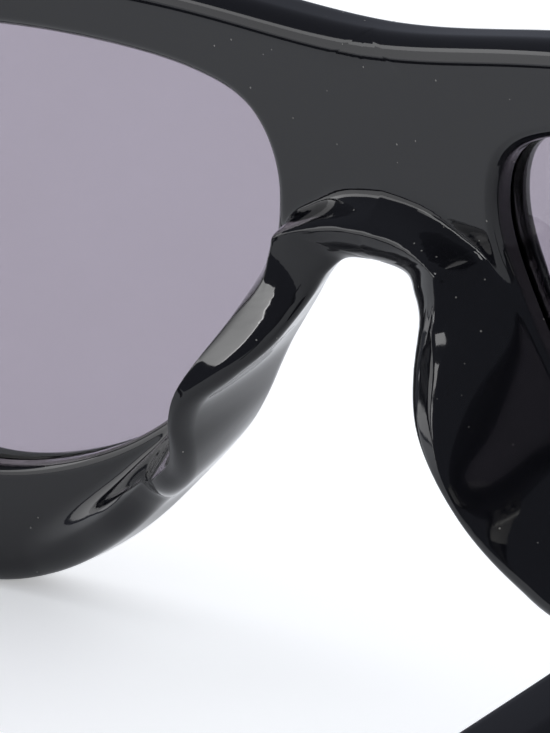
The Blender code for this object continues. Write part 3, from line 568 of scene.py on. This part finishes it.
# %% Build both temples
TEMPLE_TURN = Matrix(((0, -1, 0, 0), (-1, 0, 0, 0), (0, 0, 1, 0), (0, 0, 0, 1)))
TIP_SLOPE = (AXIS[2] - FACE_MIDDLE) / FACE_RADIUS
BUTT_GAP = 0.2 * MM
# How far in and how far back each ring of the butt's round lies, in mm
BUTT_ROUND = ((0.15, 0.0), (0.04, 0.05), (0.0, 0.16))


def slide_butt(butt):
    """Moves the first ring along the temple until it lies BUTT_GAP off the front's slope there."""
    offset = butt[:, 0] - AXIS[0]
    wall = face_bend(AXIS[0], AXIS[2]) + BACK_PLANE + offset * math.tan(AXIS_TILT) + BUTT_GAP
    wall += offset**2 / (2 * FACE_RADIUS)
    lean = math.cos(SLOPE) + TIP_SLOPE * math.sin(SLOPE)
    travel = (wall + (butt[:, 2] - AXIS[2]) * TIP_SLOPE - butt[:, 1]) / lean
    return butt + np.outer(travel, (0, math.cos(SLOPE), -math.sin(SLOPE)))


def soften_butt(rings):
    """Copies of the first ring, drawn in and set back, make a small round at the edge of the butt."""
    middle = rings[0].mean(axis=0)
    outward = rings[0] - middle
    outward /= np.linalg.norm(outward, axis=1)[:, None]
    back = np.array((0, math.cos(SLOPE), -math.sin(SLOPE)))
    softened = [rings[0] - outward * inward * MM + back * behind * MM for inward, behind in BUTT_ROUND]
    return np.vstack([softened, rings[1:]])


def capped_faces(count, size):
    """Grid cells, with a triangle from each side of the first and last rings to that ring's middle."""
    step = np.arange(size)
    faces = grid_faces(count, size).reshape(-1, 4).tolist()
    for first, middle in ((0, count * size), ((count - 1) * size, count * size + 1)):
        faces += np.column_stack([first + step, first + (step + 1) % size, np.full(size, middle)]).tolist()
    return faces


rings = temple_rings(SLOPE)
rings[0] = slide_butt(rings[0])
rings = soften_butt(rings)
solid = np.vstack([rings.reshape(-1, 3), rings[[0, -1]].mean(axis=1)])
for side, name in ((1, "left"), (-1, "right")):
    temple = new_piece(f"temple_{name}_body", solid * (side, 1, 1), capped_faces(*rings.shape[:2]),
                       f"{name}_temple")
    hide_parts(f"temple_{name}")
    cut(temple, leaf_pocket(side, TEMPLE_TURN, *TEMPLE_LEAF))

# %% [markdown]
# A lens is a thin bowl cut to the opening's outline. Its rings run from the middle of one face out to
# the edge, over a small chamfer, and back to the middle of the other face. Rings are close together near
# the edge, where a lens catches light.

# %% Build both lenses
LENS_RINGS, LENS_POINTS, CHAMFER, LENS_SHARP = 24, 240, 0.3 * MM, 30.0


def lens_rings():
    """Rings at shares of the way from middle to outline, at the depth of each face, then bowed."""
    outline = points_at(OPENING, np.linspace(0, lengths_along(OPENING)[-1], LENS_POINTS, endpoint=False))
    along = np.roll(outline, -1, axis=0) - np.roll(outline, 1, axis=0)
    outward = np.column_stack([-along[:, 1], along[:, 0]]) / np.linalg.norm(along, axis=1)[:, None]
    edge = outline + outward * (GROOVE_DEPTH - LENS_GAP)
    face, middle = edge - outward * CHAMFER, outline.mean(axis=0)
    shares = np.sin(np.linspace(0, math.pi / 2, LENS_RINGS))[1:, None, None]
    disc = middle + shares * (face - middle)
    depths = np.repeat((-LENS_SETBACK, -LENS_SETBACK - LENS_THICKNESS), LENS_RINGS)
    depths[LENS_RINGS - 1] -= CHAMFER
    depths[LENS_RINGS] += CHAMFER
    flat = np.vstack([disc, edge[None], edge[None], disc[::-1]])
    rings = np.insert(flat, 1, depths[:, None], axis=2)
    rings[..., 1] += face_bend(rings[..., 0], rings[..., 2]) + BACK_PLANE
    return rings


rings = lens_rings()
solid = np.vstack([rings.reshape(-1, 3), rings[[0, -1]].mean(axis=1)])
for side, name in ((1, "left"), (-1, "right")):
    lens = new_piece(f"lens_{name}_body", solid * (side, 1, 1), capped_faces(*rings.shape[:2]),
                     "front", sharp=LENS_SHARP)
    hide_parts(f"lens_{name}")

# %% [markdown]
# A hinge screw has a low domed head with a straight slot. It is a profile turned about its axis, with
# the slot cut by a thin box.

# %% Build both hinge screws
SCREW_PROFILE = np.array(((0, 4.86), (0.55, 4.83), (0.95, 4.72), (1.12, 4.58), (1.19, 4.42), (1.19, 4.25),
                          (0.7, 4.25), (0.7, -3.9), (0.6, -4.1), (0, -4.16))) * MM
SCREW_SIDES, SCREW_SHARP = 48, 35.0
SLOT_ANGLE, SLOT_LOW, SLOT_HIGH = 25, (-2 * MM, -0.16 * MM, 4.5 * MM), (2 * MM, 0.16 * MM, 5.2 * MM)


def turned(profile, sides):
    """Each profile point (radius, height) swept once round: radius*cos, radius*sin, height."""
    around = np.linspace(0, 2 * math.pi, sides, endpoint=False)
    ring = np.stack([np.cos(around), np.sin(around), np.ones(sides)], axis=1)
    return profile[:, [0, 0, 1]][:, None] * ring


rings = turned(SCREW_PROFILE[1:-1], SCREW_SIDES)
ends = np.array([(0, 0, SCREW_PROFILE[0, 1]), (0, 0, SCREW_PROFILE[-1, 1])])
solid = np.vstack([rings.reshape(-1, 3), ends])
for side, name in ((1, "left"), (-1, "right")):
    place = np.array((side * AXIS[0], AXIS[1], AXIS[2]))
    screw = new_piece(f"screw_{name}_slotted", solid + place, capped_faces(*rings.shape[:2]), "front",
                      sharp=SCREW_SHARP)
    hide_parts(f"hinge_screw_{name}")
    slot_turn = Matrix.Translation(place) @ Matrix.Rotation(math.radians(SLOT_ANGLE * side), 4, "Z")
    cut(screw, box_cutter(SLOT_LOW, SLOT_HIGH, slot_turn), SCREW_SHARP)

# %% [markdown]
# Colours are written as the hex values that a screen shows, and turned to linear light by the sRGB
# curve. One small function adds a node, sets its properties, and links or fills its inputs.

# %% Helpers for materials


def linear(hex_colour, alpha=1.0):
    """sRGB to linear light: c/12.92 below 0.04045, else ((c + 0.055)/1.055)^2.4."""
    channels = [int(hex_colour[i:i + 2], 16) / 255 for i in (1, 3, 5)]
    return (*(c / 12.92 if c <= 0.04045 else ((c + 0.055) / 1.055) ** 2.4 for c in channels), alpha)


def add_node(tree, kind, inputs=None, **settings):
    """A node of that kind; an input may be a number, a colour or another node's output."""
    node = tree.nodes.new(kind)
    for name, value in settings.items():
        setattr(node, name, value)
    for name, value in (inputs or {}).items():
        if isinstance(value, bpy.types.NodeSocket):
            tree.links.new(value, node.inputs[name])
        else:
            node.inputs[name].default_value = value
    return node


def new_material(name, **fixed):
    """A material with its shader's fixed values set, and the tree and shader to link into."""
    material = bpy.data.materials.new(name)
    material.use_nodes = True
    shader = material.node_tree.nodes["Principled BSDF"]
    for socket, value in fixed.items():
        shader.inputs[socket.replace("_", " ")].default_value = value
    return material, material.node_tree, shader


def dress(material, *names):
    """Gives the material to each named object as its only one."""
    for name in names:
        slots = bpy.data.objects[name].data.materials
        slots.clear()
        slots.append(material)


print("the acetate's black in linear light:", [round(c, 4) for c in linear("#151519")[:3]])

# %% [markdown]
# The front and temples are cellulose acetate, milled, tumbled for days and buffed to a deep gloss.
# What the eye gets is almost only reflection: black under it, faint waves about 9 mm across from
# buffing, hair-thin polishing marks, and specks of dust 0.14 mm wide in some cells of a 1 mm pattern.

# %% Polished black cellulose acetate
WAVE_SCALE, WAVE_DEPTH, MARK_SCALE = 110.0, 0.02 * MM, (240, 4200, 2600)
DUST_SCALE, DUST_RADIUS, DUST_RARITY = 1000.0, 0.07, 0.7

ACETATE, tree, shader = new_material("polished_black_cellulose_acetate", IOR=1.44)
place = add_node(tree, "ShaderNodeTexCoord").outputs["Object"]
wave = add_node(tree, "ShaderNodeTexNoise", {"Vector": place, "Scale": WAVE_SCALE, "Detail": 1.0})
marks = add_node(tree, "ShaderNodeMapping",
                 {"Vector": place, "Rotation": (0.4, 0.2, 0.7), "Scale": MARK_SCALE})
scratch = add_node(tree, "ShaderNodeTexNoise",
                   {"Vector": marks.outputs["Vector"], "Scale": 1.0, "Detail": 2.0})
rough = add_node(tree, "ShaderNodeMapRange", {"Value": scratch.outputs["Fac"], "From Min": 0.35,
                                              "From Max": 0.75, "To Min": 0.035, "To Max": 0.085})
tree.links.new(rough.outputs["Result"], shader.inputs["Roughness"])
bump = add_node(tree, "ShaderNodeBump",
                {"Height": wave.outputs["Fac"], "Strength": 1.0, "Distance": WAVE_DEPTH})
tree.links.new(bump.outputs["Normal"], shader.inputs["Normal"])
dust_cells = add_node(tree, "ShaderNodeTexVoronoi", {"Vector": place, "Scale": DUST_SCALE}, feature="F1")
near_speck = add_node(tree, "ShaderNodeMath", {0: dust_cells.outputs["Distance"], 1: DUST_RADIUS},
                      operation="LESS_THAN")
cell_shade = add_node(tree, "ShaderNodeSeparateColor", {"Color": dust_cells.outputs["Color"]})
chosen = add_node(tree, "ShaderNodeMath", {0: cell_shade.outputs["Red"], 1: DUST_RARITY},
                  operation="GREATER_THAN")
speck = add_node(tree, "ShaderNodeMath", {0: near_speck.outputs[0], 1: chosen.outputs[0]},
                 operation="MULTIPLY")
black = add_node(tree, "ShaderNodeMix",
                 {"Factor": speck.outputs[0], "A": linear("#151519"), "B": linear("#8E8C86")},
                 data_type="RGBA")
tree.links.new(black.outputs["Result"], shader.inputs["Base Color"])
dress(ACETATE, "front_body", "temple_left_body", "temple_right_body")
print(ACETATE.name)

# %% [markdown]
# The lenses are injection-moulded nylon, dyed an even mauve grey. What is seen through one is dimmed to
# a third, and faint smudges, some 14 mm across, keep it from looking like clean air.

# %% Tinted nylon lens
LENS, tree, shader = new_material("tinted_nylon_lens", IOR=1.53, Transmission_Weight=1.0)
place = add_node(tree, "ShaderNodeTexCoord").outputs["Object"]
smudge = add_node(tree, "ShaderNodeTexNoise", {"Vector": place, "Scale": 70.0, "Detail": 4.0})
rough = add_node(tree, "ShaderNodeMapRange", {"Value": smudge.outputs["Fac"], "From Min": 0.5,
                                              "From Max": 0.8, "To Min": 0.0, "To Max": 0.04})
tree.links.new(rough.outputs["Result"], shader.inputs["Roughness"])
tint = add_node(tree, "ShaderNodeMix",
                {"Factor": smudge.outputs["Fac"], "A": linear("#918995"), "B": linear("#8D8590")},
                data_type="RGBA")
tree.links.new(tint.outputs["Result"], shader.inputs["Base Color"])
dress(LENS, "lens_left_body", "lens_right_body")
print(LENS.name)

# %% [markdown]
# The hinges are nickel silver or stainless steel, stamped and then tumbled to a satin. Fine grain about
# 0.15 mm long runs along each leaf. The screws are turned and bright, with rings some 0.08 mm apart.
# The core wires, hidden in the temples, are drawn steel with lines along them.

# %% Steel of the hinges, screws and wires


def steel(name, colour, grain, low, high, depth):
    """Metal whose roughness and bump follow a noise stretched by the grain's scale on each axis."""
    material, tree, shader = new_material(name, Metallic=1.0)
    place = add_node(tree, "ShaderNodeTexCoord").outputs["Object"]
    stretched = add_node(tree, "ShaderNodeMapping", {"Vector": place, "Scale": grain})
    noise = add_node(tree, "ShaderNodeTexNoise",
                     {"Vector": stretched.outputs["Vector"], "Scale": 1.0, "Detail": 3.0})
    rough = add_node(tree, "ShaderNodeMapRange", {"Value": noise.outputs["Fac"], "From Min": 0.3,
                                                  "From Max": 0.7, "To Min": low, "To Max": high})
    tree.links.new(rough.outputs["Result"], shader.inputs["Roughness"])
    tone = add_node(tree, "ShaderNodeMix",
                    {"Factor": noise.outputs["Fac"], "A": linear(colour), "B": linear("#D8D6D1")},
                    data_type="RGBA")
    tree.links.new(tone.outputs["Result"], shader.inputs["Base Color"])
    bump = add_node(tree, "ShaderNodeBump",
                    {"Height": noise.outputs["Fac"], "Strength": 1.0, "Distance": depth})
    tree.links.new(bump.outputs["Normal"], shader.inputs["Normal"])
    return material


HINGE_STEEL = steel("tumbled_hinge_steel", "#B9B8B4", (6000, 6000, 1500), 0.22, 0.38, 0.004 * MM)
SCREW_STEEL = steel("turned_screw_steel", "#C4C3C0", (900, 900, 12000), 0.14, 0.26, 0.003 * MM)
WIRE_STEEL = steel("drawn_core_wire_steel", "#AEADA9", (9000, 300, 9000), 0.25, 0.4, 0.003 * MM)
for name in ("left", "right"):
    dress(HINGE_STEEL, f"front_hinge_{name}", f"temple_hinge_{name}")
    dress(SCREW_STEEL, f"screw_{name}_slotted")
    dress(WIRE_STEEL, f"core_wire_{name}")
print(HINGE_STEEL.name, SCREW_STEEL.name, WIRE_STEEL.name)

# %% [markdown]
# The pair stands on a white table, a plain matt plane with a trace of blue. The flat black surfaces
# mirror it. It takes its shading and shadow from the light, and a little glow of its own lifts it to
# white: more of it where it is seen straight or through a lens, less where the gloss mirrors it.

# %% The white table
TABLE_SIZE, SEEN_GLOW, GLOSS_GLOW = 6.0, 0.36, 0.12


def seen_rays(tree):
    """The light path node, and a socket that is 1 for rays from the camera or through a lens, else 0."""
    ray = add_node(tree, "ShaderNodeLightPath")
    seen = add_node(tree, "ShaderNodeMath", {0: ray.outputs["Is Camera Ray"],
                                             1: ray.outputs["Is Transmission Ray"]}, operation="MAXIMUM")
    return ray, seen.outputs[0]


bpy.ops.mesh.primitive_plane_add(size=TABLE_SIZE)
table = bpy.context.object
table.name = "white_table"
TABLE, tree, shader = new_material("matt_white_table", Roughness=0.9, Specular_IOR_Level=0.1)
place = add_node(tree, "ShaderNodeTexCoord").outputs["Object"]
mottle = add_node(tree, "ShaderNodeTexNoise", {"Vector": place, "Scale": 12.0, "Detail": 2.0})
paint = add_node(tree, "ShaderNodeMix",
                 {"Factor": mottle.outputs["Fac"], "A": linear("#F4F6F9"), "B": linear("#F7F8FA")},
                 data_type="RGBA")
tree.links.new(paint.outputs["Result"], shader.inputs["Base Color"])
ray, seen = seen_rays(tree)
lift = add_node(tree, "ShaderNodeMath", {0: seen, 1: SEEN_GLOW}, operation="MULTIPLY")
lift = add_node(tree, "ShaderNodeMath",
                {0: ray.outputs["Is Glossy Ray"], 1: GLOSS_GLOW, 2: lift.outputs[0]},
                operation="MULTIPLY_ADD")
tree.links.new(lift.outputs[0], shader.inputs["Emission Strength"])
dress(TABLE, "white_table")
print(TABLE.name)

# %% [markdown]
# A soft light from overhead and an even glow from all round shade the table and the pair, and the gloss
# doesn't show them. What the gloss shows is a dim room with a few lit cards in it: a window that grows
# brighter to one side and has a bright edge, a high lamp, and a low wall that is brighter along its top.

# %% Light
OVERHEAD_FROM, OVERHEAD_STRENGTH, OVERHEAD_SPREAD = (0.35, -0.5, 0.8), 1.6, math.radians(100)
ROOM, GLOW, WHITE = ("#888C98", 0.65), ("#E8ECF4", 0.55), ("#FFFFFF", 1.0)


def add_card(name, place, size, radiance, ends=(1.0, 1.0)):
    """A lit rectangle facing the pair that only gloss sees; its power is radiance x pi x area.

    Its light changes evenly along its width, from ends[0] times the radiance to ends[1] times it.
    """
    data = bpy.data.lights.new(name, "AREA")
    data.shape, data.size, data.size_y = "RECTANGLE", *size
    data.energy = radiance * math.pi * size[0] * size[1]
    data.use_nodes = True
    tree = data.node_tree
    surface = add_node(tree, "ShaderNodeNewGeometry")
    across = add_node(tree, "ShaderNodeSeparateXYZ", {"Vector": surface.outputs["Parametric"]})
    strength = add_node(tree, "ShaderNodeMapRange",
                        {"Value": across.outputs["X"], "To Min": ends[0], "To Max": ends[1]})
    tree.links.new(strength.outputs["Result"], tree.nodes["Emission"].inputs["Strength"])
    card = bpy.data.objects.new(name, data)
    card.location = place
    card.rotation_euler = (-Vector(place)).to_track_quat("-Z", "Y").to_euler()
    card.visible_diffuse = False
    return card


overhead = bpy.data.objects.new("soft_overhead", bpy.data.lights.new("soft_overhead", "SUN"))
overhead.data.energy, overhead.data.angle = OVERHEAD_STRENGTH, OVERHEAD_SPREAD
overhead.rotation_euler = Vector(OVERHEAD_FROM).to_track_quat("Z", "Y").to_euler()
overhead.visible_glossy = False
lamps = [
    overhead,
    add_card("window", (0.38, 0.93, 0.66), (0.66, 0.36), 4.6, (0.3, 1.7)),
    add_card("window_edge", (0.07, 0.99, 0.68), (0.05, 0.36), 9.0),
    add_card("high_lamp", (-0.19, 0.41, 1.11), (0.30, 0.22), 5.0),
    add_card("low_wall", (0.84, 0.50, 0.21), (1.0, 0.35), 1.4),
    add_card("wall_top", (0.77, 0.46, 0.45), (0.95, 0.15), 2.8),
]
for lamp in lamps:
    bpy.context.scene.collection.objects.link(lamp)

world = bpy.data.worlds.new("studio")
bpy.context.scene.world = world
world.use_nodes = True
tree = world.node_tree
tree.nodes.clear()
ray, seen = seen_rays(tree)
room, glow, white = (
    add_node(tree, "ShaderNodeBackground", {"Color": linear(colour), "Strength": strength}).outputs[0]
    for colour, strength in (ROOM, GLOW, WHITE))
lit = add_node(tree, "ShaderNodeMixShader", {"Fac": ray.outputs["Is Diffuse Ray"], 1: room, 2: glow})
both = add_node(tree, "ShaderNodeMixShader", {"Fac": seen, 1: lit.outputs[0], 2: white})
add_node(tree, "ShaderNodeOutputWorld", {"Surface": both.outputs[0]})
print("lamps:", [lamp.name for lamp in lamps])

# %% [markdown]
# Last, the colours are shown as they are written.

# %% Finish
bpy.context.scene.view_settings.view_transform = "Standard"
